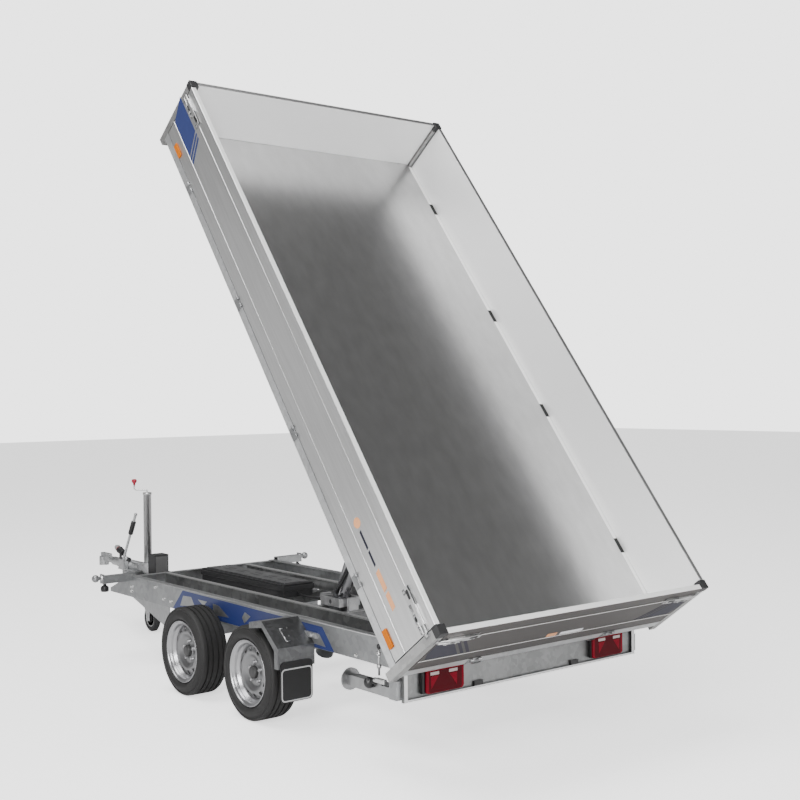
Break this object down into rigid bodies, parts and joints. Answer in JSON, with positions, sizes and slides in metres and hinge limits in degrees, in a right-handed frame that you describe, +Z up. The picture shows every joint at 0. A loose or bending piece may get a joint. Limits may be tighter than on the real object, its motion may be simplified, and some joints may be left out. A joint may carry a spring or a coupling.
{
  "type": "tandem-axle drop-side tipping trailer",
  "caption": "Galvanised tandem-axle tipping trailer with its drop-side bed raised to the rear on a telescopic cylinder, on a V drawbar with a jockey wheel.",
  "frame": {"origin": "on the ground, under the middle of the whole trailer with its bed raised", "axes": "+X runs forward to the coupling, +Y to the left, +Z up"},
  "size_m": [5.3216, 1.869, 3.5547],
  "materials": {
    "galvanised": "matte",
    "aluminium_board": "satin",
    "floor_steel": "satin",
    "tyre_rubber": "matte",
    "rim_silver": "satin",
    "black_plastic": "matte",
    "black_rubber": "matte",
    "red_lens": "gloss",
    "amber_lens": "gloss",
    "red_plastic": "gloss",
    "chrome_tube": "gloss",
    "cylinder_paint": "satin"
  },
  "bodies": {
    "chassis": {"rail_left": "galvanised", "rail_right": "galvanised", "crossmembers": "galvanised", "inner_rail_left": "galvanised", "inner_rail_right": "galvanised", "front_tip_beam": "galvanised", "rear_tip_beam": "galvanised", "axle_tubes": "galvanised", "swing_arms": "galvanised", "mudguards": "galvanised", "mud_flaps": "black_rubber", "drawbar_left": "galvanised", "drawbar_right": "galvanised", "overrun_housing": "galvanised", "coupling_head": "galvanised", "handbrake_lever": "galvanised", "jockey_tube": "galvanised", "jockey_knob": "red_plastic", "jockey_clamp": "galvanised", "control_box": "black_plastic", "plug_and_holder": "black_plastic", "light_board": "galvanised", "tail_lamps": "red_lens", "plate_lamps": "black_plastic", "pump_box": "black_plastic", "pump_lid": "galvanised", "cylinder_cradle": "galvanised"},
    "wheel_front_left": {"tyre_front_left": "tyre_rubber", "rim_front_left": "rim_silver"},
    "wheel_front_right": {"tyre_front_right": "tyre_rubber", "rim_front_right": "rim_silver"},
    "wheel_rear_left": {"tyre_rear_left": "tyre_rubber", "rim_rear_left": "rim_silver"},
    "wheel_rear_right": {"tyre_rear_right": "tyre_rubber", "rim_rear_right": "rim_silver"},
    "jockey_caster": {"jockey_fork": "galvanised"},
    "jockey_roller": {"jockey_wheel": "black_rubber"},
    "support_left": {"leg_left": "galvanised"},
    "support_right": {"leg_right": "galvanised"},
    "bed": {"bed_rails": "galvanised", "bed_bearers": "galvanised", "bed_beams": "galvanised", "bed_floor": "floor_steel", "corner_posts": "aluminium_board", "post_caps": "black_plastic", "ball_cups": "galvanised", "lift_cup": "galvanised", "side_hinges": "galvanised", "tail_hinges": "galvanised", "headboard": "aluminium_board"},
    "side_left": {"board_left": "aluminium_board", "reflectors_left": "amber_lens"},
    "side_right": {"board_right": "aluminium_board", "reflectors_right": "amber_lens"},
    "tail_board": {"tailgate": "aluminium_board"},
    "barrel": {"cylinder_barrel": "cylinder_paint"},
    "stage_1": {"cylinder_stage_1": "chrome_tube"},
    "stage_2": {"cylinder_stage_2": "chrome_tube"},
    "stage_3": {"cylinder_stage_3": "chrome_tube"},
    "stage_4": {"cylinder_stage_4": "chrome_tube"}
  },
  "joints": [
    {"name": "spin_front_left", "type": "hinge", "parent": "chassis", "child": "wheel_front_left", "pos_m": [-0.13521, 0.7045, 0.262], "axis": [0, 1, 0], "continuous": true},
    {"name": "spin_front_right", "type": "hinge", "parent": "chassis", "child": "wheel_front_right", "pos_m": [-0.13521, -0.7045, 0.262], "axis": [0, 1, 0], "continuous": true},
    {"name": "spin_rear_left", "type": "hinge", "parent": "chassis", "child": "wheel_rear_left", "pos_m": [-0.87521, 0.7045, 0.262], "axis": [0, 1, 0], "continuous": true},
    {"name": "spin_rear_right", "type": "hinge", "parent": "chassis", "child": "wheel_rear_right", "pos_m": [-0.87521, -0.7045, 0.262], "axis": [0, 1, 0], "continuous": true},
    {"name": "jockey_swivel", "type": "hinge", "parent": "chassis", "child": "jockey_caster", "pos_m": [1.83579, 0, 0.262], "axis": [0, 0, 1], "continuous": true},
    {"name": "jockey_spin", "type": "hinge", "parent": "jockey_caster", "child": "jockey_roller", "pos_m": [1.77379, 0, 0.1], "axis": [0, 1, 0], "continuous": true},
    {"name": "left_leg_swing", "type": "hinge", "parent": "chassis", "child": "support_left", "pos_m": [-2.13921, 0.795, 0.406], "axis": [0, 1, 0], "range_deg": [0, 90]},
    {"name": "right_leg_swing", "type": "hinge", "parent": "chassis", "child": "support_right", "pos_m": [-2.13921, -0.795, 0.406], "axis": [0, 1, 0], "range_deg": [0, 90]},
    {"name": "bed_tip", "type": "hinge", "parent": "chassis", "child": "bed", "pos_m": [-2.22421, 0, 0.578], "axis": [0, -1, 0], "range_deg": [-52.9, 0]},
    {"name": "left_board_drop", "type": "hinge", "parent": "bed", "child": "side_left", "pos_m": [-2.37344, 0.9275, 0.5448], "axis": [-0.6032, 0, -0.7976], "range_deg": [0, 180]},
    {"name": "right_board_drop", "type": "hinge", "parent": "bed", "child": "side_right", "pos_m": [-2.37344, -0.9275, 0.5448], "axis": [0.6032, 0, 0.7976], "range_deg": [0, 180]},
    {"name": "tailgate_drop", "type": "hinge", "parent": "bed", "child": "tail_board", "pos_m": [-2.37797, 0, 0.53882], "axis": [0, -1, 0], "range_deg": [0, 127]},
    {"name": "cylinder_sway", "type": "hinge", "parent": "chassis", "child": "barrel", "pos_m": [-0.66421, 0, 0.545], "axis": [0, -1, 0], "range_deg": [-27.22, 0.2]},
    {"name": "extend_1", "type": "slide", "parent": "barrel", "child": "stage_1", "axis": [-0.4544, 0, 0.8908], "range_m": [-0.3453, 0.0005]},
    {"name": "extend_2", "type": "slide", "parent": "stage_1", "child": "stage_2", "axis": [-0.4544, 0, 0.8908], "range_m": [-0.3453, 0.0005]},
    {"name": "extend_3", "type": "slide", "parent": "stage_2", "child": "stage_3", "axis": [-0.4544, 0, 0.8908], "range_m": [-0.3453, 0.0005]},
    {"name": "extend_4", "type": "slide", "parent": "stage_3", "child": "stage_4", "axis": [-0.4544, 0, 0.8908], "range_m": [-0.3453, 0.0005]}
  ],
  "couplings": [
    {"joint": "cylinder_sway", "follows": "bed_tip", "ratio": 0.51086},
    {"joint": "extend_1", "follows": "bed_tip", "m_per_rad": 0.3735},
    {"joint": "extend_2", "follows": "bed_tip", "m_per_rad": 0.3735},
    {"joint": "extend_3", "follows": "bed_tip", "m_per_rad": 0.3735},
    {"joint": "extend_4", "follows": "bed_tip", "m_per_rad": 0.3735}
  ]
}
